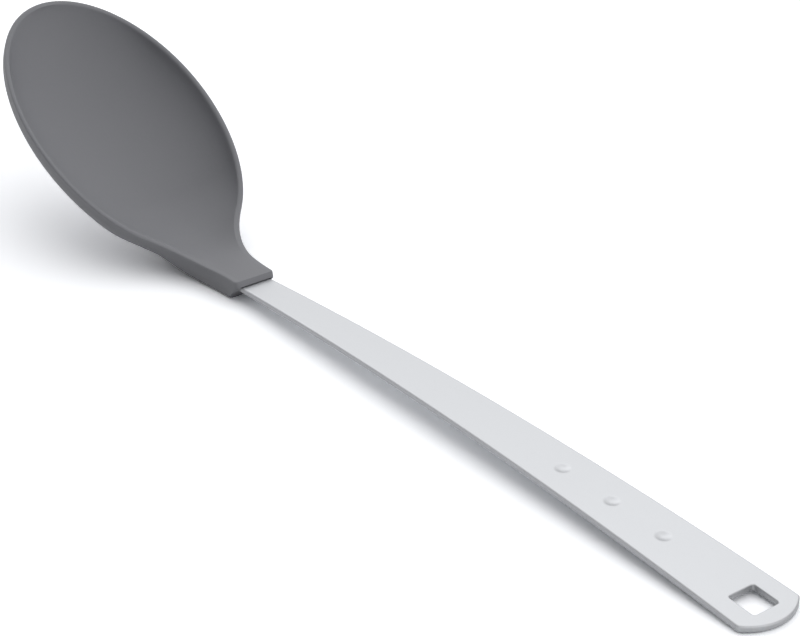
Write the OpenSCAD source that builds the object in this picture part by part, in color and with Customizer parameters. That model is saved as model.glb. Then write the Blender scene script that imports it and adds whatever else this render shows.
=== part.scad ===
// Serving spoon: a moulded nylon head on the tang of a stamped steel handle strip.
// Millimetres, +Z up, +X towards the hanging end, bowl towards -X.
// The origin is on the table under the middle of the spoon, which rests on the
// flat foot of its neck and on the hanging end of the strip.

/* [Handle strip] */
// Length of the strip from the mouth of the collar to the hanging end
strip_length = 209.5; // [170:0.1:250]
// Width of the strip where it enters the collar
strip_neck_width = 10.3; // [8:0.1:12]
// Width of the strip at the hanging end
strip_end_width = 20.7; // [15:0.1:24]
// Thickness of the sheet steel
strip_thickness = 1.8; // [1.2:0.1:2.5]
// Height of the arch of the strip over the straight line between its ends
strip_arch = 3.4; // [1:0.1:8]
// Radius of the arc that closes the hanging end
end_radius = 14.5; // [12:0.1:20]
// Radius of the two corners where that arc meets the long edges
corner_radius = 1.2; // [0.4:0.1:2.4]

/* [Hanging hole] */
// Width of the square hanging hole
hole_width = 8.5; // [6:0.1:11]
// Radius of the corners of the hanging hole
hole_corner_radius = 0.8; // [0.3:0.1:2]
// Steel left between the hanging hole and the end of the strip
hole_margin = 4.9; // [3.5:0.1:8]

/* [Dimples] */
// Number of round dimples pressed into the top of the strip
dimple_count = 3; // [1:1:5]
// Width of a dimple
dimple_width = 3.8; // [2:0.1:6]
// Depth of a dimple
dimple_depth = 0.35; // [0.1:0.05:0.7]
// Distance from one dimple to the next
dimple_spacing = 18.2; // [8:0.1:24]
// Distance from the hanging end to the nearest dimple
dimple_start = 39.4; // [28:0.1:80]

/* [Tang] */
// Length of the tang inside the moulded neck
tang_length = 30; // [22:1:34]
// Diameter of the two nylon keys that lock the tang
key_diameter = 3.2; // [2:0.1:5]
// Distance between the two keys
key_spacing = 12; // [8:0.5:15]
// Distance from the mouth of the collar to the first key
key_start = 9; // [6:0.5:12]

/* [Collar and neck] */
// Width of the collar round the strip
collar_width = 13.7; // [12.6:0.1:18]
// Nylon above the strip
cover_thickness = 1.7; // [1:0.1:3]
// Nylon below the strip, down to the table
sole_thickness = 3.2; // [2.2:0.1:5]
// Length of the flat top of the collar
neck_flat = 12.4; // [6:0.1:18]
// Radius in which the neck bends up to the bowl
neck_bend_radius = 42.2; // [30:0.2:56]
// Angle that the neck bends through
bowl_tilt = 32; // [18:0.5:38]
// Angle that the rim bows back between the neck and the tip
rim_bow = 4.2; // [1:0.1:9]
// Setback of the top edge of the collar behind its mouth
nose_top_setback = 1.6; // [0.5:0.1:3]
// Setback of the bottom edge of the collar behind its mouth
nose_foot_setback = 4.9; // [1:0.1:6]
// Height at which the collar's end begins to slope back towards the table
nose_slope_height = 4.4; // [3.4:0.1:5]
// Radius of the rounded corners of the collar, seen from above
nose_corner_radius = 2.1; // [0.8:0.1:2.4]
// Gap round the strip just inside the mouth
mouth_gap = 0.35; // [0.1:0.05:0.6]
// Depth of that gap
mouth_gap_depth = 1.4; // [0.6:0.1:2.4]

/* [Bowl] */
// Width of the bowl over its rim
bowl_width = 62.6; // [50:0.2:76]
// Distance along the rim from the mouth of the collar to the widest place
bowl_middle = 76.8; // [68:0.1:88]
// Distance from the widest place to the tip
bowl_tip_length = 51.3; // [42:0.1:62]
// Half length of the oval that shapes the rim on the neck's side
bowl_neck_length = 52.1; // [46:0.1:58]
// Depth of the bowl outside, from the rim to the underside
bowl_depth = 15.9; // [12:0.1:20]
// Height of the upright lip round the rim
lip_height = 1.9; // [1.2:0.1:4]
// Thickness of the floor of the bowl
floor_thickness = 2.1; // [1.4:0.1:4]
// Width of the top of the rim
rim_width = 1.8; // [1.2:0.1:3]
// Radius of the rounded outer edge of the rim
rim_edge_radius = 0.4; // [0.2:0.1:1]

/* [Hidden] */

steel_colour = [0.84, 0.845, 0.855];
nylon_colour = [0.24, 0.245, 0.255];

// Every cut runs past the face it opens by this much
overrun = 1;
// The foot is pressed this much flatter than the round underside
foot_press = 0.12;

// Shares that shape the neck and the bowl
fillet_share = 0.83;
neck_depth_share = 0.436;
hollow_start_share = 0.16;
hollow_full_share = 0.68;
neck_power_share = 0.423;
bowl_power_share = 0.58;

// Powers of the rounded sections: 2 is an ellipse, a high power is nearly a box
collar_power = 9;
neck_power = 1.5;
bowl_power = 2;
neck_depth_power = 1.64;
tip_power = 2.8;
nose_slope_power = 1.6;

// Steps of the moulded surface
nose_steps = 3;
neck_steps = 38;
tip_steps = 22;
edge_steps = 3;
lip_steps = 2;
under_steps = 12;
hollow_steps = 9;
smooth = 96;
arch_smooth = 720;

strip_bottom = sole_thickness;
strip_top = strip_bottom + strip_thickness;
collar_top = strip_top + cover_thickness;
half_bowl = bowl_width / 2;
half_collar = collar_width / 2;

// The arch of the strip is one circle through the mouth of the collar and the hanging end
arch_chord = norm([strip_length, strip_bottom]);
arch_radius = (arch_chord * arch_chord / 4 + strip_arch * strip_arch) / (2 * strip_arch);
arch_lean = atan2(strip_bottom, strip_length);
arch_drop = arch_radius - strip_arch;
arch_centre = [
    strip_length / 2 - arch_drop * sin(arch_lean),
    strip_bottom / 2 - arch_drop * cos(arch_lean)
];

// Height of the underside of the strip at a distance from the mouth
function strip_underside(x) =
    arch_centre[1] + sqrt(arch_radius * arch_radius - pow(x - arch_centre[0], 2));

// Corner of the hanging end: the small circle that touches a long edge and the end arc
taper = atan2((strip_end_width - strip_neck_width) / 2, strip_length);
edge_along = [cos(taper), sin(taper)];
edge_inward = [sin(taper), -cos(taper)];
end_centre = [strip_length - end_radius, 0];
edge_from = [0, strip_neck_width / 2] + corner_radius * edge_inward - end_centre;
edge_dot = edge_from * edge_along;
edge_left = pow(end_radius - corner_radius, 2) - edge_from * edge_from;
corner_centre = end_centre + edge_from + (sqrt(edge_dot * edge_dot + edge_left) - edge_dot) * edge_along;
corner_on_edge = corner_centre - corner_radius * edge_inward;
corner_reach = (corner_centre - end_centre) / norm(corner_centre - end_centre);
corner_on_arc = end_centre + end_radius * corner_reach;
corner_tip = corner_on_edge + 2 * corner_radius * edge_along;

// Smooth step from 0 to 1 between two places
function ease(from, to, at) =
    let (t = max(0, min(1, (at - from) / (to - from))))
    t * t * (3 - 2 * t);

// The smaller of two heights, with a rounded change from one to the other
function soft_min(a, b, reach) =
    let (h = max(0, min(1, 0.5 + (b - a) / (2 * reach))))
    b * (1 - h) + a * h - reach * h * (1 - h);

// The rim line, seen from the side: a flat, a bend and a long gentle bow up to the tip
rim_length = bowl_middle + bowl_tip_length;
bend_end = neck_flat + neck_bend_radius * bowl_tilt * PI / 180;
bow_radius = (rim_length - bend_end) / (rim_bow * PI / 180);

function rim_slope(s) =
    s < neck_flat ? 0 :
    s < bend_end ? (s - neck_flat) / neck_bend_radius * 180 / PI :
    bowl_tilt - (s - bend_end) / bow_radius * 180 / PI;

function rim_reach(s) =
    min(s, neck_flat)
    + neck_bend_radius * sin(rim_slope(min(s, bend_end)))
    + bow_radius * (sin(bowl_tilt) - sin(rim_slope(max(s, bend_end))));

function rim_height(s) =
    collar_top
    + neck_bend_radius * (1 - cos(rim_slope(min(s, bend_end))))
    + bow_radius * (cos(rim_slope(max(s, bend_end))) - cos(bowl_tilt));

// Half the width of the rim at a distance along the rim line
fillet_end = bowl_middle - fillet_share * bowl_neck_length;
fillet_width = half_bowl * sqrt(1 - fillet_share * fillet_share);
fillet_rise = half_bowl / bowl_neck_length * fillet_share / sqrt(1 - fillet_share * fillet_share);

function oval_half(s) =
    let (x = (s - bowl_middle) / (s > bowl_middle ? bowl_tip_length : bowl_neck_length))
    half_bowl * sqrt(max(0, 1 - x * x));

function fillet_half(s) =
    let (
        run = fillet_end - nose_corner_radius,
        t = max(0, (s - nose_corner_radius) / run)
    )
    half_collar * (2 * t * t * t - 3 * t * t + 1)
    + fillet_width * (3 * t * t - 2 * t * t * t)
    + fillet_rise * run * (t * t * t - t * t);

function corner_half(s) =
    half_collar - nose_corner_radius
    + sqrt(max(0, nose_corner_radius * nose_corner_radius - pow(nose_corner_radius - s, 2)));

function rim_half(s) =
    s < nose_corner_radius ? corner_half(s) :
    s < fillet_end ? fillet_half(s) : oval_half(s);

// Depth under the rim of the outside and of the hollow, square to the rim line
function bowl_under(s, full, tip) =
    s < bowl_middle ?
        full * (1 - neck_depth_share * pow((bowl_middle - s) / bowl_middle, neck_depth_power)) :
        full * pow(max(0, 1 - pow(min(1, (s - bowl_middle) / tip), tip_power)), 1 / tip_power);

function outer_depth(s) =
    let (
        to_table = rim_height(s) / cos(rim_slope(s)) + foot_press,
        lip_part = s < bowl_middle ? 0 : lip_height,
        bowl = lip_part + bowl_under(s, bowl_depth - lip_part, bowl_tip_length)
    )
    s < neck_flat ? to_table : soft_min(to_table, bowl, sole_thickness / 2);

function hollow_depth(s) =
    bowl_under(s, bowl_depth - floor_thickness, bowl_tip_length - rim_width)
    * ease(hollow_start_share * bowl_middle, hollow_full_share * bowl_middle, s);

function outer_power(s) =
    collar_power
    + (neck_power - collar_power) * ease(0, neck_power_share * bowl_middle, s)
    + (bowl_power - neck_power) * ease(neck_power_share * bowl_middle, bowl_power_share * bowl_middle, s);

// Stations along the rim: close together round the collar's corners and at the tip
long_steps = nose_steps + neck_steps;
stations = long_steps + tip_steps;

function station(i) =
    i <= nose_steps ?
        nose_corner_radius * (1 - cos(90 * i / nose_steps)) :
    i <= long_steps ?
        nose_corner_radius + (bowl_middle - nose_corner_radius) * (i - nose_steps) / neck_steps :
        bowl_middle + bowl_tip_length * sin(90 * (i - long_steps) / tip_steps);

// Outward direction of the rim's outline, seen from above, as [along, across]
function rim_normal(i) =
    let (
        s = station(i),
        t = 90 * (i - long_steps) / tip_steps,
        step = bowl_middle / neck_steps / 4,
        n = i > long_steps ? [half_bowl * sin(t), bowl_tip_length * cos(t)] :
            i <= nose_steps ? [0, 1] :
            [(rim_half(s - step) - rim_half(s + step)) / (2 * step), 1]
    )
    n / norm(n);

// A point from its distance along the rim line, its distance across and its depth
function place(s, across, depth) =
    [
        -rim_reach(s) - depth * sin(rim_slope(s)),
        across,
        max(0, rim_height(s) - depth * cos(rim_slope(s)))
    ];

// Half a section from the top of the rim down the outside to the middle of the underside
function outer_half(i) =
    let (
        s = station(i),
        half = rim_half(s),
        out = rim_normal(i),
        depth = outer_depth(s),
        lip = min(lip_height, depth),
        power = 2 / outer_power(s)
    )
    [
        for (k = [0 : edge_steps])
            let (
                inset = rim_edge_radius * (1 - sin(90 * k / edge_steps)),
                down = rim_edge_radius * (1 - cos(90 * k / edge_steps))
            )
            [s - inset * out[0], half - inset * out[1], down],
        for (k = [1 : lip_steps])
            [s, half, rim_edge_radius + (lip - rim_edge_radius) * k / lip_steps],
        for (k = [1 : under_steps])
            let (a = 90 * k / under_steps)
            [s, k < under_steps ? half * pow(cos(a), power) : 0, lip + (depth - lip) * pow(sin(a), power)]
    ];

// Half a section from the inner edge of the rim to the middle of the hollow
function hollow_half(i) =
    let (
        out = rim_normal(i),
        s = station(i) - rim_width * out[0],
        half = rim_half(station(i)) - rim_width * out[1],
        depth = hollow_depth(s)
    )
    [
        for (k = [0 : hollow_steps])
            let (a = 90 * k / hollow_steps)
            [s, k < hollow_steps ? half * cos(a) : 0, depth * sin(a)]
    ];

outer_last = edge_steps + lip_steps + under_steps;
ring_count = 2 * outer_last + 1 + 2 * hollow_steps + 1;

// A whole section: down the right side, up the left side, and back through the hollow
function section(i) =
    let (outer = outer_half(i), hollow = hollow_half(i))
    [
        for (j = [0 : outer_last])
            outer[j],
        for (j = [outer_last - 1 : -1 : 0])
            [outer[j][0], -outer[j][1], outer[j][2]],
        for (j = [0 : hollow_steps])
            [hollow[j][0], -hollow[j][1], hollow[j][2]],
        for (j = [hollow_steps - 1 : -1 : 0])
            hollow[j]
    ];

// Setback of the collar's rounded end behind its mouth, by depth under its top
function nose_setback(depth) =
    let (
        over = max(0, 1 - depth / cover_thickness),
        under = max(0, min(1, (collar_top - depth) / nose_slope_height))
    )
    nose_top_setback * (1 - sqrt(1 - over * over))
    + nose_foot_setback * (1 - pow(under, nose_slope_power));

// The setback blends into the distance along the rim, and dies out before the neck bends
function nose_blend(s, depth) =
    s + (norm([s, nose_setback(depth)]) - s) * (1 - ease(nose_corner_radius, neck_flat, s));

function placed_section(i) =
    [
        for (p = section(i))
            place(nose_blend(p[0], p[2]), p[1], p[2])
    ];

// At the tip both sides meet in one line: the rim's rounding, the lip and the hollow's edge
tip_outer = outer_half(stations);
tip_points = [
    for (j = [0 : edge_steps + lip_steps])
        place(tip_outer[j][0], 0, tip_outer[j][2]),
    place(hollow_half(stations)[0][0], 0, 0)
];

function tip_index(j) =
    j > 2 * outer_last ? edge_steps + lip_steps + 1 :
    min(j, 2 * outer_last - j, edge_steps + lip_steps);

function point_index(i, j) =
    i < stations ? i * ring_count + j % ring_count :
    stations * ring_count + tip_index(j % ring_count);

head_points = [
    for (i = [0 : stations - 1])
        each placed_section(i),
    each tip_points
];

function is_face(f) = f[0] != f[1] && f[1] != f[2] && f[2] != f[0];

wall_faces = [
    for (i = [0 : stations - 1])
        for (j = [0 : ring_count - 1])
            let (
                a = point_index(i, j),
                b = point_index(i, j + 1),
                c = point_index(i + 1, j + 1),
                d = point_index(i + 1, j)
            )
            each [for (f = [[c, b, a], [d, c, a]]) if (is_face(f)) f]
];

// The collar's end is closed in level strips: the top one takes in the hollow's points and
// the lowest one all the points that stand on the table
end_top = [
    2 * outer_last - 1,
    each [for (j = [2 * outer_last : ring_count - 1]) j],
    0,
    1
];
end_foot_first = min([for (j = [0 : outer_last]) if (outer_half(0)[j][2] >= collar_top) j]);
end_faces = [
    end_top,
    for (j = [1 : end_foot_first - 2])
        [j, j + 1, 2 * outer_last - j - 1, 2 * outer_last - j],
    [for (j = [end_foot_first - 1 : 2 * outer_last - end_foot_first + 1]) j]
];

head_tip = min([for (p = head_points) p[0]]);
middle = (strip_length + head_tip) / 2;

// The strip seen from above, without its tang
module strip_outline() {
    difference() {
        intersection() {
            polygon([
                [0, -strip_neck_width / 2],
                [strip_length, -strip_end_width / 2],
                [strip_length, strip_end_width / 2],
                [0, strip_neck_width / 2]
            ]);
            union() {
                translate([0, -strip_end_width])
                    square([end_centre[0], 2 * strip_end_width]);
                translate(end_centre)
                    circle(end_radius, $fn = smooth);
            }
        }
        for (side = [0, 1])
            mirror([0, side])
                corner_waste();
    }
}

// What the rounded corner takes off the hanging end
module corner_waste() {
    difference() {
        polygon([
            corner_on_edge,
            corner_tip,
            corner_on_arc + corner_radius * corner_reach,
            corner_on_arc,
            corner_centre
        ]);
        translate(corner_centre)
            circle(corner_radius, $fn = smooth);
    }
}

// The strip seen from the side: one sheet thickness on the arch
module strip_side() {
    difference() {
        translate(arch_centre + [0, strip_thickness])
            circle(arch_radius, $fn = arch_smooth);
        translate(arch_centre)
            circle(arch_radius, $fn = arch_smooth);
    }
}

// A square with rounded corners, centred
module rounded_square(width, corner) {
    inner = width - 2 * corner;
    square([width, inner], center = true);
    square([inner, width], center = true);
    for (x = [-inner / 2, inner / 2], y = [-inner / 2, inner / 2])
        translate([x, y])
            circle(corner, $fn = smooth);
}

// The tang with its two key holes; front is how far it runs past the mouth
module tang(front) {
    difference() {
        translate([-tang_length, -strip_neck_width / 2, strip_bottom])
            cube([tang_length + front, strip_neck_width, strip_thickness]);
        for (k = [0, 1])
            translate([-key_start - k * key_spacing, 0, strip_bottom - overrun])
                cylinder(d = key_diameter, h = strip_thickness + 2 * overrun, $fn = smooth);
    }
}

module arched_strip() {
    height = strip_top + strip_arch + 2 * overrun;
    intersection() {
        translate([0, 0, -overrun])
            linear_extrude(height)
                strip_outline();
        translate([0, strip_end_width, 0])
            rotate([90, 0, 0])
                linear_extrude(2 * strip_end_width)
                    strip_side();
    }
}

module dimples() {
    // Radius of the ball whose cap is one dimple
    ball = (dimple_width * dimple_width / 4 + dimple_depth * dimple_depth) / (2 * dimple_depth);
    for (k = [0 : dimple_count - 1]) {
        x = strip_length - dimple_start - k * dimple_spacing;
        translate([x, 0, strip_underside(x) + strip_thickness + ball - dimple_depth])
            sphere(ball, $fn = smooth);
    }
}

module hanging_hole() {
    x = strip_length - hole_margin - hole_width / 2;
    translate([x, 0, -overrun])
        linear_extrude(strip_top + strip_arch + 2 * overrun)
            rounded_square(hole_width, hole_corner_radius);
}

// Stamped and arched stainless strip with its tang, hanging hole and dimples
module handle_strip() {
    color(steel_colour)
        translate([-middle, 0, 0])
            union() {
                difference() {
                    arched_strip();
                    hanging_hole();
                    dimples();
                }
                tang(0);
            }
}

// The gap round the strip just inside the mouth of the collar
module mouth_relief() {
    translate([-mouth_gap_depth, -strip_neck_width / 2 - mouth_gap, strip_bottom])
        cube([
            mouth_gap_depth + overrun,
            strip_neck_width + 2 * mouth_gap,
            strip_thickness + mouth_gap
        ]);
}

// Nylon head: collar, neck and bowl in one moulding, with its keys through the tang
module spoon_head() {
    color(nylon_colour)
        translate([-middle, 0, 0])
            difference() {
                polyhedron(head_points, concat(wall_faces, end_faces), convexity = 6);
                tang(overrun);
                mouth_relief();
            }
}

handle_strip();
spoon_head();
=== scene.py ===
"""A serving spoon on a white table: a matt nylon head on a satin steel handle strip.

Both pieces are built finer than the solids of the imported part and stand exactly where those
solids are. They follow the same sizes, but their edges are rolled, the dimples are wider and
deeper, the hollow is gentler at both its ends and a fine gap runs round the strip at the mouth.
Lengths are in metres and angles in radians.
"""
import logging
import math
from dataclasses import dataclass, field
from enum import Enum
from typing import Any, Callable, Dict, List, Optional, Tuple, Union

import bmesh
import bpy
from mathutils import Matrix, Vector


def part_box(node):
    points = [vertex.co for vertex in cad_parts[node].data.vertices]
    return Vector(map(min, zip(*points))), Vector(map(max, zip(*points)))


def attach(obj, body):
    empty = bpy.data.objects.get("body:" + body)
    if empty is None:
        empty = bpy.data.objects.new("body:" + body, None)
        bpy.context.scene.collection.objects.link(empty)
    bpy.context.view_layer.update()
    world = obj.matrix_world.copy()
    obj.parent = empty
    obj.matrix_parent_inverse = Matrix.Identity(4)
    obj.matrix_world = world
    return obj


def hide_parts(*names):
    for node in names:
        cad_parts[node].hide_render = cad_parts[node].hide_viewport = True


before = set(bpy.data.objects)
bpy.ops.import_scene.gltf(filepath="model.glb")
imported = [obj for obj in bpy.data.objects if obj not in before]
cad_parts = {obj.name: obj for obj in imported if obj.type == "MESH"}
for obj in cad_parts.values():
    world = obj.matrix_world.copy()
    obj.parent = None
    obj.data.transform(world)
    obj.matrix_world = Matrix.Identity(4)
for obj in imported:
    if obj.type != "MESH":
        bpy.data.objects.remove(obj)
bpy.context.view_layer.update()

LOG = logging.getLogger("spoon")
MM = 0.001
BODY = "root"
NODE_STEP = 40.0
NOISE_MIDDLE = 0.5

Point2 = Tuple[float, float]
Point3 = Tuple[float, float, float]
Colour = Tuple[float, float, float]
WearSheenPoint = Tuple[float, float, float, float]


def binary(operation: str, swapped: bool = False) -> Callable[["Signal", "Number"], "Signal"]:
    """Makes a method of Signal that adds one Math node on its value and another.

    Args:
        operation: The node's operation.
        swapped: Whether the signal's own value comes second.

    Returns:
        The method.
    """

    def method(own: "Signal", other: "Number") -> "Signal":
        """Adds the node."""
        first, second = (other, own) if swapped else (own, other)
        return own.bench.math(operation, first, second)

    return method


class Signal:
    """A socket's value. A sum written with it adds the Math nodes that work it out."""

    def __init__(self, bench: "Bench", socket: bpy.types.NodeSocket) -> None:
        """Keeps the bench that adds nodes and the socket that gives the value."""
        self.bench = bench
        self.socket = socket

    def output(self, name: Union[str, int]) -> "Signal":
        """Gives another output of the same node."""
        return Signal(self.bench, self.socket.node.outputs[name])

    __add__ = binary("ADD")
    __radd__ = binary("ADD", swapped=True)
    __sub__ = binary("SUBTRACT")
    __rsub__ = binary("SUBTRACT", swapped=True)
    __mul__ = binary("MULTIPLY")
    __truediv__ = binary("DIVIDE")
    __pow__ = binary("POWER")
    __gt__ = binary("GREATER_THAN")
    at_least = binary("MAXIMUM")
    at_most = binary("MINIMUM")

    def rounded(self) -> "Signal":
        """Gives the nearest whole number."""
        return self.bench.math("ROUND", self)

    def root(self) -> "Signal":
        """Gives the square root."""
        return self.bench.math("SQRT", self)

    def eased(self, low: float, high: float) -> "Signal":
        """Gives a smooth step from 0 at low to 1 at high."""
        return self.bench.add(
            "ShaderNodeMapRange",
            {"interpolation_type": "SMOOTHSTEP"},
            {"Value": self, "From Min": low, "From Max": high, "To Min": 0.0, "To Max": 1.0},
        )


Number = Union[float, Signal]


class Bench:
    """Adds nodes to one node tree, from left to right."""

    def __init__(self, tree: bpy.types.NodeTree) -> None:
        """Keeps the tree.

        Args:
            tree: A shader tree or a geometry tree, which is emptied first.
        """
        self.tree = tree
        tree.nodes.clear()

    def add(
        self,
        kind: str,
        settings: Optional[Dict[str, Any]] = None,
        inputs: Optional[Dict[Union[str, int], Any]] = None,
        output: Union[str, int] = 0,
    ) -> Signal:
        """Adds one node of any type.

        Args:
            kind: The node's type.
            settings: What is set first, such as an operation.
            inputs: A value or a signal for each input that isn't left as it is.
            output: The output that is given back.

        Returns:
            The chosen output, or the first input of a node that has no outputs.
        """
        node = self.tree.nodes.new(kind)
        node.location = (len(self.tree.nodes) * NODE_STEP, 0.0)
        for name, value in (settings or {}).items():
            setattr(node, name, value)
        for key, value in (inputs or {}).items():
            if isinstance(value, Signal):
                self.tree.links.new(value.socket, node.inputs[key])
            else:
                node.inputs[key].default_value = value
        sockets = node.outputs if len(node.outputs) else node.inputs
        return Signal(self, sockets[output])

    def math(self, operation: str, first: Number, second: Optional[Number] = None) -> Signal:
        """Adds a Math node for one operation on one or two values."""
        inputs = {0: first} if second is None else {0: first, 1: second}
        return self.add("ShaderNodeMath", {"operation": operation}, inputs)

    def blend(self, factor: Number, first: Any, second: Any, mode: str = "MIX") -> Signal:
        """Mixes two colours by a factor."""
        settings = {"data_type": "RGBA", "blend_type": mode, "clamp_result": False}
        return self.add("ShaderNodeMix", settings, {0: factor, 6: first, 7: second}, 2)

    def scaled(self, vector: Signal, scale: Point3) -> Signal:
        """Multiplies a vector by three plain numbers."""
        return self.add("ShaderNodeVectorMath", {"operation": "MULTIPLY"}, {0: vector, 1: scale})

    def noise(
        self, vector: Signal, per_metre: float, detail: float = 2.0, rough: float = 0.5
    ) -> Signal:
        """Gives noise from 0 to 1.

        Args:
            vector: The place that it is read at.
            per_metre: How many of its blobs there are in a metre.
            detail: How many finer layers it has.
            rough: How strong each finer layer is.

        Returns:
            The noise's factor.
        """
        inputs = {"Vector": vector, "Scale": per_metre, "Detail": detail, "Roughness": rough}
        return self.add("ShaderNodeTexNoise", {"noise_dimensions": "3D"}, inputs)

    def shaded(self, colour: Any, shade: Signal) -> Signal:
        """Multiplies a colour by a shade."""
        tint = self.add("ShaderNodeCombineColor", None, {"Red": shade, "Green": shade, "Blue": shade})
        return self.blend(1.0, colour, tint, "MULTIPLY")

    def surface(self, height: Signal, strength: float, depth: float, inputs: Dict[str, Any]) -> None:
        """Ends a material with its surface over a fine bump.

        Args:
            height: The bump's height, from 0 to about 1.
            strength: How strong the bump is.
            depth: How deep it is.
            inputs: The surface's other inputs.
        """
        settings = {"Strength": strength, "Distance": depth, "Height": height}
        bump = self.add("ShaderNodeBump", None, settings)
        surface = self.add("ShaderNodeBsdfPrincipled", None, {**inputs, "Normal": bump})
        self.add("ShaderNodeOutputMaterial", None, {"Surface": surface})


def opaque(colour: Colour) -> Tuple[float, float, float, float]:
    """Gives a colour with full alpha."""
    return (*colour, 1.0)


def new_material(name: str) -> Tuple[bpy.types.Material, Bench]:
    """Makes an empty node material.

    Args:
        name: The material's name.

    Returns:
        The material and a bench on its tree.
    """
    material = bpy.data.materials.new(name)
    material.use_nodes = True
    return material, Bench(material.node_tree)


@dataclass(frozen=True)
class MattNylon:
    """Glass-filled nylon from a textured mould, with a faint polish where it is handled and a faint
    painted sheen that lightens the rim's edges.
    """

    name: str = "matt_nylon"
    colour: Colour = (0.220, 0.223, 0.240)
    roughness: float = 0.52
    ior: float = 1.46
    specular_level: float = 0.42
    flow_per_metre: float = 46.0
    flow_stretch: Point3 = (0.6, 1.0, 1.0)
    fibre_per_metre: float = 1500.0
    fibre_stretch: Point3 = (0.35, 1.0, 1.0)
    grain_per_metre: float = 2600.0
    grain_depth: float = 0.02 * MM
    pits_per_metre: float = 1118.0
    pits_share: float = 0.3
    bump_strength: float = 0.32
    base_shade: float = 0.955
    flow_shade: float = 0.05
    fibre_shade: float = 0.05
    painted_sheen_shade: float = 0.02
    flow_roughness: float = 0.10
    grain_roughness: float = 0.12
    wear_polish: float = 0.06

    def material(self) -> bpy.types.Material:
        """Builds the material.

        Returns:
            A material that reads Object coordinates and the attribute rim_wear_and_sheen.
        """
        material, bench = new_material(self.name)
        place = bench.add("ShaderNodeTexCoord").output("Object")
        worn_and_sheen = bench.add("ShaderNodeAttribute", {"attribute_name": "rim_wear_and_sheen"}).output("Fac")
        flow = bench.noise(bench.scaled(place, self.flow_stretch), self.flow_per_metre, detail=3.0)
        fibre = bench.noise(bench.scaled(place, self.fibre_stretch), self.fibre_per_metre, rough=0.6)
        grain = bench.noise(place, self.grain_per_metre, detail=3.0, rough=0.62)
        pits = bench.noise(place, self.pits_per_metre, detail=1.0)
        shade = self.base_shade + flow * self.flow_shade + fibre * self.fibre_shade
        # The rim's edges get a lighter colour here, which is painted sheen; their real polish is the
        # lower roughness below.
        shade = shade + worn_and_sheen * self.painted_sheen_shade
        colour = bench.shaded(opaque(self.colour), shade)
        roughness = self.roughness + (flow - NOISE_MIDDLE) * self.flow_roughness
        roughness = roughness + (grain - NOISE_MIDDLE) * self.grain_roughness - worn_and_sheen * self.wear_polish
        height = grain * (1 - self.pits_share) + pits * self.pits_share
        inputs = {
            "Base Color": colour,
            "Roughness": roughness,
            "Metallic": 0.0,
            "IOR": self.ior,
            "Specular IOR Level": self.specular_level,
        }
        bench.surface(height, self.bump_strength, self.grain_depth, inputs)
        return material


@dataclass(frozen=True)
class SatinSteel:
    """Stainless sheet, softly blasted on its faces and sheared and tumbled on its edges."""

    name: str = "satin_steel"
    face_colour: Colour = (0.570, 0.581, 0.600)
    cut_colour: Colour = (0.500, 0.508, 0.524)
    face_roughness: float = 0.38
    cut_roughness: float = 0.58
    cloud_per_metre: float = 70.0
    cloud_stretch: Point3 = (0.5, 1.0, 1.0)
    blast_per_metre: float = 5200.0
    blast_depth: float = 0.012 * MM
    drag_per_metre: float = 3400.0
    drag_stretch: Point3 = (1.0, 1.0, 0.06)
    drag_height: float = 1.4
    speck_per_metre: float = 1500.0
    speck_from: float = 0.66
    speck_to: float = 0.74
    bump_strength: float = 0.30
    face_shade: float = 0.975
    cloud_shade: float = 0.05
    speck_shade: float = 0.03
    cut_shade: float = 0.86
    drag_shade: float = 0.28
    cloud_roughness: float = 0.10
    blast_roughness: float = 0.10
    drag_roughness: float = 0.18

    def material(self) -> bpy.types.Material:
        """Builds the material.

        Returns:
            A material that reads Object coordinates and the attribute cut_edge.
        """
        material, bench = new_material(self.name)
        place = bench.add("ShaderNodeTexCoord").output("Object")
        cut = bench.add("ShaderNodeAttribute", {"attribute_name": "cut_edge"}).output("Fac")
        stretched = bench.scaled(place, self.cloud_stretch)
        cloud = bench.noise(stretched, self.cloud_per_metre, detail=4.0, rough=0.55)
        blast = bench.noise(place, self.blast_per_metre, rough=0.7)
        drag = bench.noise(bench.scaled(place, self.drag_stretch), self.drag_per_metre, rough=0.6)
        speck = bench.noise(place, self.speck_per_metre, detail=1.0)
        speck = speck.eased(self.speck_from, self.speck_to)
        face_shade = self.face_shade + cloud * self.cloud_shade - speck * self.speck_shade
        cut_shade = self.cut_shade + drag * self.drag_shade
        shade = face_shade + cut * (cut_shade - face_shade)
        base = bench.blend(cut, opaque(self.face_colour), opaque(self.cut_colour))
        colour = bench.shaded(base, shade)
        face_rough = self.face_roughness + (cloud - NOISE_MIDDLE) * self.cloud_roughness
        face_rough = face_rough + (blast - NOISE_MIDDLE) * self.blast_roughness
        cut_rough = self.cut_roughness + (drag - NOISE_MIDDLE) * self.drag_roughness
        roughness = face_rough + cut * (cut_rough - face_rough)
        height = blast * (1.0 - cut) + drag * cut * self.drag_height
        inputs = {"Base Color": colour, "Roughness": roughness, "Metallic": 1.0}
        bench.surface(height, self.bump_strength, self.blast_depth, inputs)
        return material


def new_object(name: str, data: Any) -> bpy.types.Object:
    """Makes an object in the scene from its mesh, its lamp or its camera."""
    made = bpy.data.objects.new(name, data)
    bpy.context.scene.collection.objects.link(made)
    return made


def face_along(thing: bpy.types.Object, way: Vector) -> None:
    """Turns a lamp or a camera to look along a direction."""
    thing.rotation_mode = "QUATERNION"
    thing.rotation_quaternion = way.to_track_quat("-Z", "Y")


def plain_mesh(bm: bmesh.types.BMesh, name: str) -> bpy.types.Mesh:
    """Turns a working mesh into a plain one and frees it."""
    mesh = bpy.data.meshes.new(name)
    bm.to_mesh(mesh)
    bm.free()
    return mesh


class Face(Enum):
    """The two faces of the sheet that the strip is stamped from."""

    UNDER = 0
    TOP = 1


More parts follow.
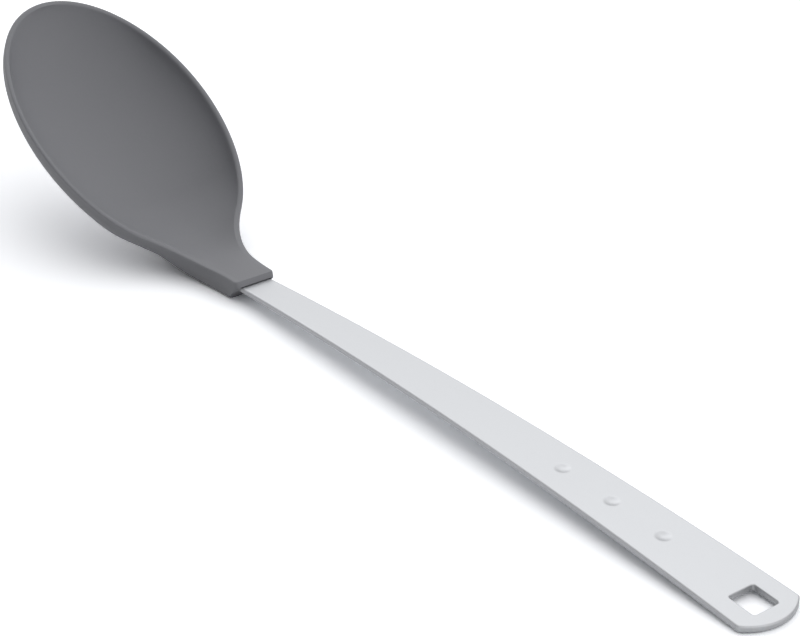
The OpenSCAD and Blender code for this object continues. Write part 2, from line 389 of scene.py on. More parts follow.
def smooth_mesh(mesh: bpy.types.Mesh, sharp_over: float) -> None:
    """Shades a mesh smooth, with sharp edges where it turns by more than an angle."""
    for polygon in mesh.polygons:
        polygon.use_smooth = True
    mesh.set_sharp_from_angle(angle=sharp_over)


def hand_over(name: str, mesh: bpy.types.Mesh, node: str) -> bpy.types.Object:
    """Makes a finished piece from its mesh and lets it stand for a solid of the part.

    Args:
        name: The piece's name.
        mesh: Its mesh, which already holds its place.
        node: The solid that it stands for.

    Returns:
        The piece.
    """
    piece = new_object(name, mesh)
    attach(piece, BODY)
    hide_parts(node)
    LOG.info("%s: %d faces, stands for %s", name, len(mesh.polygons), node)
    return piece


def evaluated_mesh(piece: bpy.types.Object, name: str) -> bpy.types.Mesh:
    """Turns an object with live modifiers into one plain mesh and deletes the object.

    Args:
        piece: The object.
        name: The new mesh's name.

    Returns:
        The plain mesh.
    """
    graph = bpy.context.evaluated_depsgraph_get()
    mesh = bpy.data.meshes.new_from_object(piece.evaluated_get(graph), depsgraph=graph)
    mesh.name = name
    bpy.data.objects.remove(piece)
    return mesh


@dataclass
class HandleStrip:
    """The stamped strip: a flat blank with rolled edges that is dimpled and arched."""

    finish: SatinSteel = field(default_factory=SatinSteel)
    length: float = 209.5 * MM
    neck_width: float = 10.3 * MM
    end_width: float = 20.7 * MM
    thickness: float = 1.8 * MM
    arch: float = 3.4 * MM
    end_radius: float = 14.5 * MM
    corner_radius: float = 1.2 * MM
    mouth_height: float = 3.2 * MM
    tang_length: float = 30.0 * MM
    hole_width: float = 8.5 * MM
    hole_corner: float = 0.8 * MM
    hole_margin: float = 4.9 * MM
    dimple_count: int = 3
    dimple_width: float = 4.6 * MM
    dimple_depth: float = 0.46 * MM
    dimple_spacing: float = 18.2 * MM
    dimple_start: float = 39.4 * MM
    dimple_power: float = 1.5
    roll_radius: float = 0.45 * MM
    hole_roll_radius: float = 0.30 * MM
    roll_steps: int = 7
    flat_margin: float = 0.3 * MM
    arc_steps: int = 48
    corner_steps: int = 10
    bend_pitch: float = 3.0 * MM
    dimple_pitch: float = 0.22 * MM
    cut_tolerance: float = 0.001 * MM
    sharp_over: float = math.radians(35)

    mouth: float = field(init=False)

    def __post_init__(self) -> None:
        """Works out the place of the collar's mouth along X."""
        self.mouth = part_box("handle_strip")[1][0] - self.length

    @property
    def taper(self) -> float:
        """The angle of a long edge to the middle line."""
        return math.atan2((self.end_width - self.neck_width) / 2, self.length)

    @property
    def arch_radius(self) -> float:
        """The radius of the arch's underside."""
        chord = math.hypot(self.length, self.mouth_height)
        return (chord * chord / 4 + self.arch * self.arch) / (2 * self.arch)

    @property
    def arch_centre(self) -> Point2:
        """The centre of the arch, along the strip and in height."""
        lean = math.atan2(self.mouth_height, self.length)
        drop = self.arch_radius - self.arch
        along = self.length / 2 - drop * math.sin(lean)
        return (along, self.mouth_height / 2 - drop * math.cos(lean))

    def corner(self) -> Tuple[Vector, float, float]:
        """Works out the small arc between a long edge and the arc of the end.

        Returns:
            The arc's centre, on the side of +Y, and the directions in which it begins and ends.
        """
        along = Vector((math.cos(self.taper), math.sin(self.taper)))
        inward = Vector((along.y, -along.x))
        end = Vector((self.length - self.end_radius, 0.0))
        start = Vector((0.0, self.neck_width / 2)) + self.corner_radius * inward - end
        dot = start.dot(along)
        spare = (self.end_radius - self.corner_radius) ** 2 - start.dot(start)
        centre = end + start + (math.sqrt(dot * dot + spare) - dot) * along
        reach = centre - end
        return centre, math.pi / 2 + self.taper, math.atan2(reach.y, reach.x)

    def edge_loop(self, inset: float) -> List[Point2]:
        """Draws the outside of the blank, seen from above.

        Args:
            inset: How far inside the real edge the loop runs.

        Returns:
            The loop's points, which match from one inset to another.
        """
        centre, begin, finish = self.corner()
        half = self.neck_width / 2 - inset
        side = [(-self.tang_length + inset, half), (0.0, half)]
        radius = self.corner_radius - inset
        for k in range(self.corner_steps + 1):
            turn = begin + (finish - begin) * k / self.corner_steps
            side.append((centre.x + radius * math.cos(turn), centre.y + radius * math.sin(turn)))
        tip = self.length - self.end_radius
        for k in range(1, self.arc_steps + 1):
            turn = finish * (1 - k / self.arc_steps)
            reach = self.end_radius - inset
            side.append((tip + reach * math.cos(turn), reach * math.sin(turn)))
        return side + [(x, -y) for x, y in reversed(side[:-1])]

    def hole_loop(self, inset: float) -> List[Point2]:
        """Draws the square hanging hole with its rounded corners.

        Args:
            inset: How far outside the hole's wall the loop runs.

        Returns:
            The loop's points, which match from one inset to another.
        """
        middle = self.length - self.hole_margin - self.hole_width / 2
        straight = self.hole_width / 2 - self.hole_corner
        points = []
        for quarter, (sx, sy) in enumerate([(1, 1), (-1, 1), (-1, -1), (1, -1)]):
            for k in range(self.corner_steps + 1):
                turn = math.pi / 2 * (quarter + k / self.corner_steps)
                reach = self.hole_corner + inset
                points.append((
                    middle + sx * straight + reach * math.cos(turn),
                    sy * straight + reach * math.sin(turn),
                ))
        return points

    def roll(self, radius: float) -> List[Tuple[float, float, float]]:
        """Gives a rolled edge from the underside to the top.

        Args:
            radius: The radius of the roll.

        Returns:
            For each loop, its inset, its height and how much it shows the sheared wall.
        """
        lower = []
        for k in range(self.roll_steps + 1):
            turn = math.pi / 2 * k / self.roll_steps
            inset, height = radius * (1 - math.sin(turn)), radius * (1 - math.cos(turn))
            lower.append((inset, height, k / self.roll_steps))
        lower.insert(0, (radius + self.flat_margin, 0.0, 0.0))
        upper = [(inset, self.thickness - height, wall) for inset, height, wall in reversed(lower)]
        return lower + upper

    def blank(self) -> bpy.types.Mesh:
        """Builds the flat blank, fine enough to be dimpled and arched.

        Returns:
            A closed mesh with the attribute cut_edge, in the blank's own frame.
        """
        bm = bmesh.new()
        cut_edge = bm.verts.layers.float.new("cut_edge")
        faces_of: Dict[Face, List[bmesh.types.BMEdge]] = {Face.UNDER: [], Face.TOP: []}
        for draw, radius in (
            (self.edge_loop, self.roll_radius),
            (self.hole_loop, self.hole_roll_radius),
        ):
            rings = []
            for inset, height, wall in self.roll(radius):
                ring = [bm.verts.new((x, y, height)) for x, y in draw(inset)]
                for vert in ring:
                    vert[cut_edge] = wall
                rings.append(ring)
            for low, high in zip(rings, rings[1:]):
                for k in range(len(low)):
                    after = (k + 1) % len(low)
                    bm.faces.new((low[k], low[after], high[after], high[k]))
            for face, ring in ((Face.UNDER, rings[0]), (Face.TOP, rings[-1])):
                for k in range(len(ring)):
                    edge = bm.edges.get((ring[k], ring[(k + 1) % len(ring)]))
                    faces_of[face].append(edge)
        for edges in faces_of.values():
            bmesh.ops.triangle_fill(bm, use_beauty=True, use_dissolve=False, edges=edges)
        for place, normal in self.cuts():
            bmesh.ops.bisect_plane(
                bm,
                geom=bm.verts[:] + bm.edges[:] + bm.faces[:],
                dist=self.cut_tolerance,
                plane_co=place,
                plane_no=normal,
            )
        bmesh.ops.recalc_face_normals(bm, faces=bm.faces[:])
        return plain_mesh(bm, "strip_blank")

    def cuts(self) -> List[Tuple[Point3, Point3]]:
        """Lists the planes that divide the blank: wide apart for the arch, close at a dimple.

        Returns:
            A point and a normal for each plane.
        """
        across, sideways = (1.0, 0.0, 0.0), (0.0, 1.0, 0.0)
        bends = int(self.length / self.bend_pitch)
        planes = [((self.length * k / bends, 0.0, 0.0), across) for k in range(bends)]
        reach = self.dimple_width / 2 + 2 * self.dimple_pitch
        fine = int(math.ceil(reach / self.dimple_pitch))
        for k in range(-fine, fine + 1):
            planes.append(((0.0, k * self.dimple_pitch, 0.0), sideways))
        for dimple in range(self.dimple_count):
            middle = self.length - self.dimple_start - dimple * self.dimple_spacing
            for k in range(-fine, fine + 1):
                planes.append(((middle + k * self.dimple_pitch, 0.0, 0.0), across))
        return planes

    def forming_tree(self, material: bpy.types.Material) -> bpy.types.NodeTree:
        """Builds the geometry tree that presses the dimples and bends the arch.

        Args:
            material: The finish that the tree sets.

        Returns:
            The tree. Its inputs are this strip's sizes.
        """
        tree = bpy.data.node_groups.new("strip_forming", "GeometryNodeTree")
        bench = Bench(tree)
        tree.interface.new_socket(name="Geometry", in_out="INPUT", socket_type="NodeSocketGeometry")
        for name in self.forming_sizes():
            tree.interface.new_socket(name=name, in_out="INPUT", socket_type="NodeSocketFloat")
        tree.interface.new_socket(name="Geometry", in_out="OUTPUT", socket_type="NodeSocketGeometry")
        blank = bench.add("NodeGroupInput")
        size = {name: blank.output(name) for name in self.forming_sizes()}

        place = bench.add("ShaderNodeSeparateXYZ", None, {0: bench.add("GeometryNodeInputPosition")})
        along, aside, height = place.output("X"), place.output("Y"), place.output("Z")

        first = size["Length"] - size["Dimple start"]
        number = ((first - along) / size["Dimple spacing"]).rounded()
        number = number.at_least(0.0).at_most(size["Dimple count"] - 1.0)
        from_middle = along - (first - number * size["Dimple spacing"])
        reach = (from_middle * from_middle + aside * aside).root() / (size["Dimple width"] / 2.0)
        bowl = (1.0 - reach * reach).at_least(0.0) ** self.dimple_power
        on_top = height > size["Thickness"] / 2.0
        pressed = height - bowl * on_top * size["Dimple depth"]

        from_crown = along.at_least(0.0) - size["Arch centre along"]
        rise = (size["Arch radius"] * size["Arch radius"] - from_crown * from_crown).root()
        formed = bench.add(
            "ShaderNodeCombineXYZ",
            None,
            {"X": along + size["Mouth"], "Y": aside, "Z": pressed + rise + size["Arch centre height"]},
        )
        moved = bench.add("GeometryNodeSetPosition", None, {"Geometry": blank, "Position": formed})
        whole = bench.add("GeometryNodeRealizeInstances", None, {"Geometry": moved})
        dressed = bench.add("GeometryNodeSetMaterial", None, {"Geometry": whole, "Material": material})
        bench.add("NodeGroupOutput", None, {0: dressed})
        return tree

    def forming_sizes(self) -> Dict[str, float]:
        """Lists the inputs of the forming tree with this strip's values."""
        return {
            "Mouth": self.mouth,
            "Length": self.length,
            "Thickness": self.thickness,
            "Arch radius": self.arch_radius,
            "Arch centre along": self.arch_centre[0],
            "Arch centre height": self.arch_centre[1],
            "Dimple count": float(self.dimple_count),
            "Dimple width": self.dimple_width,
            "Dimple depth": self.dimple_depth,
            "Dimple spacing": self.dimple_spacing,
            "Dimple start": self.dimple_start,
        }

    def build(self) -> bpy.types.Object:
        """Builds, forms and dresses the strip.

        Returns:
            The finished piece.
        """
        rough = new_object("strip_blank", self.blank())
        modifier = rough.modifiers.new("forming", "NODES")
        modifier.node_group = self.forming_tree(self.finish.material())
        sizes = self.forming_sizes()
        for item in modifier.node_group.interface.items_tree:
            if item.in_out == "INPUT" and item.name in sizes:
                modifier[item.identifier] = sizes[item.name]
        mesh = evaluated_mesh(rough, "handle_strip_satin")
        smooth_mesh(mesh, self.sharp_over)
        return hand_over("handle_strip_satin", mesh, "handle_strip")


@dataclass
class SpoonHead:
    """The nylon moulding: a flat-topped collar, a bent neck and a deep oval bowl."""

    finish: MattNylon = field(default_factory=MattNylon)
    collar_width: float = 13.7 * MM
    sole: float = 3.2 * MM
    strip_thickness: float = 1.8 * MM
    cover: float = 1.7 * MM
    neck_flat: float = 12.4 * MM
    bend_radius: float = 42.2 * MM
    tilt: float = math.radians(32.0)
    bow: float = math.radians(4.2)
    nose_top: float = 1.1 * MM
    nose_foot: float = 4.9 * MM
    nose_slope_height: float = 4.4 * MM
    nose_corner: float = 2.1 * MM
    bowl_width: float = 62.6 * MM
    bowl_middle: float = 76.8 * MM
    tip_length: float = 51.2 * MM
    neck_length: float = 52.1 * MM
    bowl_depth: float = 15.9 * MM
    lip: float = 1.9 * MM
    floor: float = 2.1 * MM
    rim_width: float = 1.8 * MM
    rim_outer_edge: float = 0.5 * MM
    rim_inner_edge: float = 0.95 * MM
    foot_press: float = 0.12 * MM
    tang_width: float = 10.3 * MM
    tang_length: float = 30.0 * MM
    mouth_gap: float = 0.22 * MM
    mouth_gap_depth: float = 1.0 * MM
    fillet_share: float = 0.83
    neck_depth_share: float = 0.436
    hollow_start_share: float = 0.16
    hollow_full_share: float = 0.68
    neck_dish_share: float = 0.30
    tip_dish_share: float = 0.45
    tip_dish: float = 0.75
    neck_power_share: float = 0.423
    bowl_power_share: float = 0.58
    collar_power: float = 9.0
    neck_power: float = 1.5
    bowl_power: float = 2.0
    neck_depth_power: float = 1.64
    tip_power: float = 2.8
    hollow_tip_power: float = 2.2
    hollow_tip_close: float = 0.7
    nose_slope_power: float = 1.6
    nose_steps: int = 8
    neck_steps: int = 96
    tip_steps: int = 54
    edge_steps: int = 4
    lip_steps: int = 3
    under_steps: int = 30
    hollow_steps: int = 28
    slope_step_share: float = 0.25
    # Each part of the rim's share of the polish and of the painted sheen that lightens the nylon
    # there.
    edge_wear_and_sheen: float = 1.0
    lip_wear_and_sheen: float = 0.5
    inner_wear_and_sheen: float = 0.7
    hollow_wear_and_sheen: float = 0.25
    pocket_past: float = 2 * MM
    sharp_over: float = math.radians(38)

    mouth: float = field(init=False)

    def __post_init__(self) -> None:
        """Works out the place of the collar's mouth along X."""
        self.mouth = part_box("spoon_head")[1][0]

    @property
    def collar_top(self) -> float:
        """The height of the flat top of the collar."""
        return self.sole + self.strip_thickness + self.cover

    @property
    def bend_end(self) -> float:
        """The distance along the rim at which the neck's bend ends."""
        return self.neck_flat + self.bend_radius * self.tilt

    @property
    def rim_length(self) -> float:
        """The length of the rim line from the mouth to the tip."""
        return self.bowl_middle + self.tip_length

    @property
    def bow_radius(self) -> float:
        """The radius in which the rim bows back towards the tip."""
        return (self.rim_length - self.bend_end) / self.bow

    @property
    def ring_total(self) -> int:
        """The number of rings before the tip."""
        return self.nose_steps + self.neck_steps + self.tip_steps

    @staticmethod
    def ease(start: float, end: float, at: float) -> float:
        """Gives a smooth step from 0 at start to 1 at end."""
        t = min(1.0, max(0.0, (at - start) / (end - start)))
        return t * t * (3 - 2 * t)

    def slope(self, s: float) -> float:
        """Gives the slope of the rim line at a distance along it."""
        if s < self.neck_flat:
            return 0.0
        if s < self.bend_end:
            return (s - self.neck_flat) / self.bend_radius
        return self.tilt - (s - self.bend_end) / self.bow_radius

    def reach(self, s: float) -> float:
        """Gives how far from the mouth the rim line is, seen from above."""
        bent = self.bend_radius * math.sin(self.slope(min(s, self.bend_end)))
        turn = self.slope(max(s, self.bend_end))
        bowed = self.bow_radius * (math.sin(self.tilt) - math.sin(turn))
        return min(s, self.neck_flat) + bent + bowed

    def height(self, s: float) -> float:
        """Gives the height of the rim line over the table."""
        bent = self.bend_radius * (1 - math.cos(self.slope(min(s, self.bend_end))))
        turn = self.slope(max(s, self.bend_end))
        bowed = self.bow_radius * (math.cos(turn) - math.cos(self.tilt))
        return self.collar_top + bent + bowed

    def half_width(self, s: float) -> float:
        """Gives half the width of the rim at a distance along it."""
        collar, bowl = self.collar_width / 2, self.bowl_width / 2
        if s < self.nose_corner:
            left = self.nose_corner - s
            return collar - self.nose_corner + math.sqrt(max(0.0, self.nose_corner ** 2 - left ** 2))
        start, end = self.nose_corner, self.bowl_middle - self.fillet_share * self.neck_length
        if s < end:
            t, run = (s - start) / (end - start), end - start
            left = math.sqrt(1 - self.fillet_share ** 2)
            width = bowl * left
            rise = bowl / self.neck_length * self.fillet_share / left
            blend = collar * (2 * t ** 3 - 3 * t * t + 1) + width * (3 * t * t - 2 * t ** 3)
            return blend + rise * run * (t ** 3 - t * t)
        x = (s - self.bowl_middle) / (self.tip_length if s > self.bowl_middle else self.neck_length)
        return bowl * math.sqrt(max(0.0, 1 - x * x))

    def under(self, s: float, full: float, tip: float, power: float, close: float) -> float:
        """Gives the depth of a bowl surface under the rim line.

        Args:
            s: The distance along the rim.
            full: The depth at the widest place.
            tip: The distance from the widest place to where the surface closes.
            power: How long the surface stays deep before it closes.
            close: How steeply it closes: 1 is a slope, and less is steeper.

        Returns:
            The depth, square to the rim line.
        """
        if s < self.bowl_middle:
            back = (self.bowl_middle - s) / self.bowl_middle
            return full * (1 - self.neck_depth_share * back ** self.neck_depth_power)
        x = min(1.0, (s - self.bowl_middle) / tip)
        return full * max(0.0, 1 - x ** power) ** close

    def outer_depth(self, s: float) -> float:
        """Gives the depth of the outside, down to the table along the foot."""
        to_table = self.height(s) / math.cos(self.slope(s)) + self.foot_press
        if s < self.neck_flat:
            return to_table
        lip = 0.0 if s < self.bowl_middle else self.lip
        close = 1 / self.tip_power
        bowl = lip + self.under(s, self.bowl_depth - lip, self.tip_length, self.tip_power, close)
        blend = self.sole / 2
        h = min(1.0, max(0.0, 0.5 + (bowl - to_table) / (2 * blend)))
        return bowl * (1 - h) + to_table * h - blend * h * (1 - h)

    def hollow_depth(self, s: float) -> float:
        """Gives the depth of the hollow, which fades in behind the collar."""
        start = self.hollow_start_share * self.bowl_middle
        full = self.hollow_full_share * self.bowl_middle
        tip = self.tip_length - self.rim_width
        full_depth = self.bowl_depth - self.floor
        deep = self.under(s, full_depth, tip, self.hollow_tip_power, self.hollow_tip_close)
        return deep * self.ease(start, full, s)

    def dish(self, s: float) -> float:
        """Gives the power of the hollow's section: 1 has upright walls, 2 is a gentle dish."""
        full, middle = self.hollow_full_share * self.bowl_middle, self.bowl_middle
        neck = 1 - self.ease(self.neck_dish_share * middle, full, s)
        tip = self.ease(middle + self.tip_dish_share * self.tip_length, self.rim_length, s)
        return 1 + neck + self.tip_dish * tip

    def outer_power(self, s: float) -> float:
        """Gives the power of the section: nearly a box at the collar, an ellipse at the bowl."""
        turn = self.neck_power_share * self.bowl_middle
        end = self.bowl_power_share * self.bowl_middle
        to_neck = (self.neck_power - self.collar_power) * self.ease(0.0, turn, s)
        to_bowl = (self.bowl_power - self.neck_power) * self.ease(turn, end, s)
        return self.collar_power + to_neck + to_bowl

    def station(self, ring: int) -> float:
        """Gives the distance along the rim of a ring."""
        if ring <= self.nose_steps:
            return self.nose_corner * (1 - math.cos(math.pi / 2 * ring / self.nose_steps))
        ring -= self.nose_steps
        if ring <= self.neck_steps:
            return self.nose_corner + (self.bowl_middle - self.nose_corner) * ring / self.neck_steps
        ring -= self.neck_steps
        return self.bowl_middle + self.tip_length * math.sin(math.pi / 2 * ring / self.tip_steps)

    def outward(self, ring: int) -> Point2:
        """Gives the direction out of the rim, seen from above, at a ring."""
        s, long_steps = self.station(ring), self.nose_steps + self.neck_steps
        if ring <= self.nose_steps:
            return (0.0, 1.0)
        if ring > long_steps:
            t = math.pi / 2 * (ring - long_steps) / self.tip_steps
            along, across = self.bowl_width / 2 * math.sin(t), self.tip_length * math.cos(t)
        else:
            step = self.bowl_middle / self.neck_steps * self.slope_step_share
            along = (self.half_width(s - step) - self.half_width(s + step)) / (2 * step)
            across = 1.0
        size = math.hypot(along, across)
        return (along / size, across / size)

    def outside(self, ring: int) -> List[WearSheenPoint]:
        """Draws half a ring from the top of the rim to the middle of the underside.

        Args:
            ring: The ring's number.

        Returns:
            For each point, the distance along the rim, across it and under it, and its share of polish
            and painted sheen.
        """
        s, out = self.station(ring), self.outward(ring)
        half, depth, power = self.half_width(s), self.outer_depth(s), 2 / self.outer_power(s)
        lip, radius = min(self.lip, depth), self.rim_outer_edge
        points = []
        for k in range(self.edge_steps + 1):
            turn = math.pi / 2 * k / self.edge_steps
            inset, down = radius * (1 - math.sin(turn)), radius * (1 - math.cos(turn))
            points.append((s - inset * out[0], half - inset * out[1], down, self.edge_wear_and_sheen))
        for k in range(1, self.lip_steps + 1):
            down = radius + (lip - radius) * k / self.lip_steps
            points.append((s, half, down, self.lip_wear_and_sheen if k == 1 else 0.0))
        for k in range(1, self.under_steps + 1):
            turn = math.pi / 2 * k / self.under_steps
            across = half * math.cos(turn) ** power if k < self.under_steps else 0.0
            points.append((s, across, lip + (depth - lip) * math.sin(turn) ** power, 0.0))
        return points

    def inside(self, ring: int) -> List[WearSheenPoint]:
        """Draws half a ring from the inner edge of the rim to the middle of the hollow.

        Args:
            ring: The ring's number.

        Returns:
            For each point, the distance along the rim, across it and under it, and its share of polish
            and painted sheen.
        """
        out = self.outward(ring)
        s = self.station(ring) - self.rim_width * out[0]
        half = self.half_width(self.station(ring)) - self.rim_width * out[1]
        deep = self.hollow_depth(s)
        dish = self.dish(self.station(ring))
        radius = min(self.rim_inner_edge, deep / 2) * (2 - dish) if dish < 2 else 0.0
        points = []
        for k in range(self.edge_steps + 1):
            turn = math.pi / 2 * k / self.edge_steps
            spare, down = self.rim_inner_edge * (1 - math.sin(turn)), radius * (1 - math.cos(turn))
            points.append((s + spare * out[0], half + spare * out[1], down, self.inner_wear_and_sheen))
        start = math.asin(min(1.0, radius / deep)) if deep > 0 else 0.0
        for k in range(1, self.hollow_steps + 1):
            turn = start + (math.pi / 2 - start) * k / self.hollow_steps
            across = half * math.cos(turn) / math.cos(start) if k < self.hollow_steps else 0.0
            rest = max(0.0, math.sin(turn) - math.sin(start)) / (1 - math.sin(start))
            down = radius + (deep - radius) * rest ** dish
            points.append((s, across, down, self.hollow_wear_and_sheen if k == 1 else 0.0))
        return points

    def setback(self, depth: float) -> float:
        """Gives how far behind the mouth the collar's end lies, at a depth under its top."""
        over = max(0.0, 1 - depth / self.cover)
        under = min(1.0, max(0.0, (self.collar_top - depth) / self.nose_slope_height))
        return self.nose_top * over + self.nose_foot * (1 - under ** self.nose_slope_power)

    def place(self, s: float, across: float, depth: float) -> Point3:
        """Places a point that is given by its distances along, across and under the rim."""
        fade = 1 - self.ease(self.nose_corner, self.neck_flat, s)
        s += (math.hypot(s, self.setback(depth)) - s) * fade
        turn = self.slope(s)
        return (
            self.mouth - self.reach(s) - depth * math.sin(turn),
            across,
            max(0.0, self.height(s) - depth * math.cos(turn)),
        )

    def moulding(self) -> bpy.types.Mesh:
        """Builds the closed moulding, before its pocket is cut.

        Returns:
            A mesh with the attribute rim_wear_and_sheen.
        """
        bm = bmesh.new()
        # Each point's share of the rim's polish and of its painted sheen.
        wear_and_sheen_layer = bm.verts.layers.float.new("rim_wear_and_sheen")

        def vert(point: WearSheenPoint, side: int) -> bmesh.types.BMVert:
            """Adds one point of a ring on one side."""
            made = bm.verts.new(self.place(point[0], side * point[1], point[2]))
            made[wear_and_sheen_layer] = point[3]
            return made

        rings: List[List[bmesh.types.BMVert]] = []
        for ring in range(self.ring_total):
            outer, inner = self.outside(ring), self.inside(ring)
            loop = [vert(p, 1) for p in outer] + [vert(p, -1) for p in reversed(outer[:-1])]
            loop += [vert(p, -1) for p in inner] + [vert(p, 1) for p in reversed(inner[:-1])]
            rings.append(loop)
        self.close_tip(rings, vert)
        for near, far in zip(rings, rings[1:]):
            for k in range(len(near)):
                after = (k + 1) % len(near)
                corners = (near[k], near[after], far[after], far[k])
                kept = [v for n, v in enumerate(corners) if v not in corners[:n]]
                if len(kept) > 2:
                    bm.faces.new(kept)
        self.close_collar(bm, rings[0])
        bmesh.ops.recalc_face_normals(bm, faces=bm.faces[:])
        return plain_mesh(bm, "head_moulding")

    def close_tip(
        self,
        rings: List[List[bmesh.types.BMVert]],
        vert: Callable[[WearSheenPoint, int], bmesh.types.BMVert],
    ) -> None:
        """Adds the last ring, in which both sides meet on the middle line.

        Args:
            rings: The rings so far, to which the last one is added.
            vert: Adds one point.
        """
        rounds = self.edge_steps + 1
        outer = self.outside(self.ring_total)[: rounds + self.lip_steps]
        inner = self.inside(self.ring_total)[:rounds]
        outer_verts = [vert((p[0], 0.0, p[2], p[3]), 1) for p in outer]
        inner_verts = [vert((p[0], 0.0, p[2], p[3]), 1) for p in inner]
        lowest = self.edge_steps + self.lip_steps
        last = self.edge_steps + self.lip_steps + self.under_steps
        loop = [outer_verts[min(k, 2 * last - k, lowest)] for k in range(2 * last + 1)]
        bottom = self.edge_steps + self.hollow_steps
        loop += [inner_verts[min(k, 2 * bottom - k, self.edge_steps)] for k in range(2 * bottom + 1)]
        rings.append(loop)

    def close_collar(self, bm: bmesh.types.BMesh, ring: List[bmesh.types.BMVert]) -> None:
        """Closes the collar's end with level strips between the two sides of its ring."""
        last = self.edge_steps + self.lip_steps + self.under_steps
        standing = min(k for k in range(last + 1) if ring[k].co.z <= 0.0)
        bm.faces.new([ring[2 * last - 1]] + ring[2 * last:] + [ring[0], ring[1]])
        for k in range(1, standing - 1):
            bm.faces.new((ring[k], ring[k + 1], ring[2 * last - k - 1], ring[2 * last - k]))
        bm.faces.new(ring[standing - 1: 2 * last - standing + 2])

    def pocket(self) -> bpy.types.Object:
        """Builds the shape of the pocket: the tang's slot and the gap round it at the mouth.

        Returns:
            The cutter, to be taken out of the moulding.
        """
        bm = bmesh.new()
        for length, side, top in (
            (self.tang_length, 0.0, 0.0),
            (self.mouth_gap_depth, self.mouth_gap, self.mouth_gap),
        ):
            wide, high = self.tang_width + 2 * side, self.strip_thickness + top
            size = (length + self.pocket_past, wide, high)
            middle = (self.mouth + (self.pocket_past - length) / 2, 0.0, self.sole + high / 2)
            made = bmesh.ops.create_cube(bm, size=1.0)["verts"]
            bmesh.ops.scale(bm, vec=size, verts=made)
            bmesh.ops.translate(bm, vec=middle, verts=made)
        return new_object("tang_pocket", plain_mesh(bm, "tang_pocket"))

    def build(self) -> bpy.types.Object:
        """Builds, cuts and dresses the head.

        Returns:
            The finished piece.
        """
        rough = new_object("head_moulding", self.moulding())
        cutter = self.pocket()
        cut = rough.modifiers.new("pocket", "BOOLEAN")
        cut.operation, cut.solver, cut.use_self, cut.object = "DIFFERENCE", "EXACT", True, cutter
        mesh = evaluated_mesh(rough, "spoon_head_matt")
        bpy.data.objects.remove(cutter)
        mesh.materials.clear()
        mesh.materials.append(self.finish.material())
        smooth_mesh(mesh, self.sharp_over)
        return hand_over("spoon_head_matt", mesh, "spoon_head")


@dataclass(frozen=True)
class SoftBox:
    """A wide glow in the sky: where it is, how bright it is and how tight it is."""

    towards: Point3
    gain: float
    power: float = 4.0

    def glow(self, bench: Bench, way: Signal) -> Signal:
        """Gives the light that comes from a direction.

        Args:
            bench: The bench of the world's tree.
            way: The direction, of length 1.

        Returns:
            The strength of the glow.
        """
        axis = tuple(Vector(self.towards).normalized())
        settings = {"operation": "DOT_PRODUCT"}
        facing = bench.add("ShaderNodeVectorMath", settings, {0: way, 1: axis}, "Value")
        return facing.at_least(0.0) ** self.power * self.gain


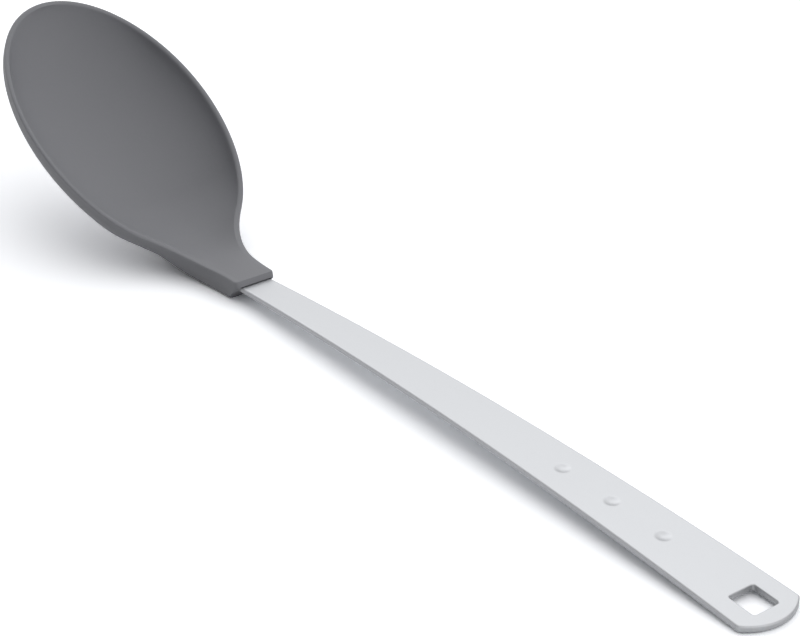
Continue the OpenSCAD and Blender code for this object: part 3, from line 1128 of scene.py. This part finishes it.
@dataclass
class Studio:
    """A white table top under soft light, and the camera."""

    floor_size: float = 8.0
    floor_drop: float = 0.02 * MM
    floor_colour: Colour = (0.90, 0.90, 0.905)
    seen_floor_colour: Colour = (1.43, 1.445, 1.48)
    mirrored_floor_colour: Colour = (1.12, 1.13, 1.14)
    sky_strength: float = 0.25
    soft_boxes: Tuple[SoftBox, ...] = (
        SoftBox((-0.45, 0.60, 0.60), 0.80, 6.0),
        SoftBox((1.00, 0.10, 0.55), 0.98),
        SoftBox((0.00, 0.00, 1.00), 0.14),
        SoftBox((-1.00, -0.10, 0.70), 0.88),
        SoftBox((0.20, 1.00, 0.70), 0.30),
        SoftBox((-0.95, 0.08, 0.42), 1.00, 24.0),
    )
    front_flag: SoftBox = SoftBox((0.70, -0.70, 0.25), -0.37, 2.0)
    front_card: SoftBox = SoftBox((0.70, -0.70, 0.25), 0.42, 2.0)
    key_place: Point3 = (0.0, 0.3, 1.3)
    key_size: float = 1.6
    key_watts: float = 1.8
    camera_azimuth: float = math.radians(51.82)
    camera_elevation: float = math.radians(27.68)
    camera_distance: float = 0.6643
    camera_aim: Point3 = (-0.0112, 0.0255, -0.0002)
    camera_lens: float = 103.6
    camera_sensor: float = 36.0
    camera_near: float = 0.01
    camera_far: float = 20.0

    def table(self) -> bpy.types.Object:
        """Lays the table top, which looks white to the camera and keeps the spoon's shadow."""
        half = self.floor_size / 2
        mesh = bpy.data.meshes.new("table_top")
        corners = [(-half, -half), (half, -half), (half, half), (-half, half)]
        mesh.from_pydata([(x, y, -self.floor_drop) for x, y in corners], [], [(0, 1, 2, 3)])
        top = new_object("table_top", mesh)
        material, bench = new_material("white_table")
        path = bench.add("ShaderNodeLightPath")
        seen, mirrored = path.output("Is Camera Ray"), path.output("Is Glossy Ray")
        lit = bench.blend(mirrored, opaque(self.floor_colour), opaque(self.mirrored_floor_colour))
        colour = bench.blend(seen, lit, opaque(self.seen_floor_colour))
        surface = bench.add("ShaderNodeBsdfDiffuse", None, {"Color": colour})
        bench.add("ShaderNodeOutputMaterial", None, {"Surface": surface})
        mesh.materials.append(material)
        return top

    def world(self) -> None:
        """Sets a dim sky with wide soft boxes, which is white for the camera.

        A flag takes light away in front. A card stands there for what the steel mirrors.
        """
        world = bpy.data.worlds.new("studio")
        world.use_nodes = True
        bpy.context.scene.world = world
        bench = Bench(world.node_tree)
        path = bench.add("ShaderNodeLightPath")
        seen, mirrored = path.output("Is Camera Ray"), path.output("Is Glossy Ray")
        way = bench.add("ShaderNodeTexCoord").output("Generated")
        glow: Number = self.sky_strength
        for box in self.soft_boxes:
            glow = glow + box.glow(bench, way)
        glow = glow + self.front_flag.glow(bench, way) * (1.0 - mirrored)
        glow = (glow + self.front_card.glow(bench, way) * mirrored).at_least(0.0)
        strength = glow + seen * (1.0 - glow)
        inputs = {"Color": opaque((1.0, 1.0, 1.0)), "Strength": strength}
        sky = bench.add("ShaderNodeBackground", None, inputs)
        bench.add("ShaderNodeOutputWorld", None, {"Surface": sky})

    def key_light(self) -> None:
        """Hangs one wide soft lamp over the far side of the table."""
        data = bpy.data.lights.new("key", "AREA")
        data.shape, data.size, data.energy = "SQUARE", self.key_size, self.key_watts
        lamp = new_object("key", data)
        lamp.location = self.key_place
        face_along(lamp, -Vector(self.key_place))

    def camera(self) -> None:
        """Sets the camera where the photograph was taken from."""
        azimuth, elevation = self.camera_azimuth, self.camera_elevation
        back = Vector((
            math.sin(azimuth) * math.cos(elevation),
            -math.cos(azimuth) * math.cos(elevation),
            math.sin(elevation),
        ))
        data = bpy.data.cameras.new("camera")
        data.lens, data.sensor_width = self.camera_lens, self.camera_sensor
        data.clip_start, data.clip_end = self.camera_near, self.camera_far
        camera = new_object("camera", data)
        camera.location = Vector(self.camera_aim) + back * self.camera_distance
        face_along(camera, -back)
        bpy.context.scene.camera = camera

    def build(self) -> None:
        """Sets up the table, the light and the camera."""
        self.table()
        self.world()
        self.key_light()
        self.camera()
        bpy.context.scene.view_settings.view_transform = "Standard"
        LOG.info("studio ready")


def main() -> None:
    """Builds the studio and the two pieces in order."""
    logging.basicConfig(level=logging.INFO, format="%(name)s: %(message)s")
    Studio().build()
    HandleStrip().build()
    SpoonHead().build()


if __name__ == "__main__":
    main()
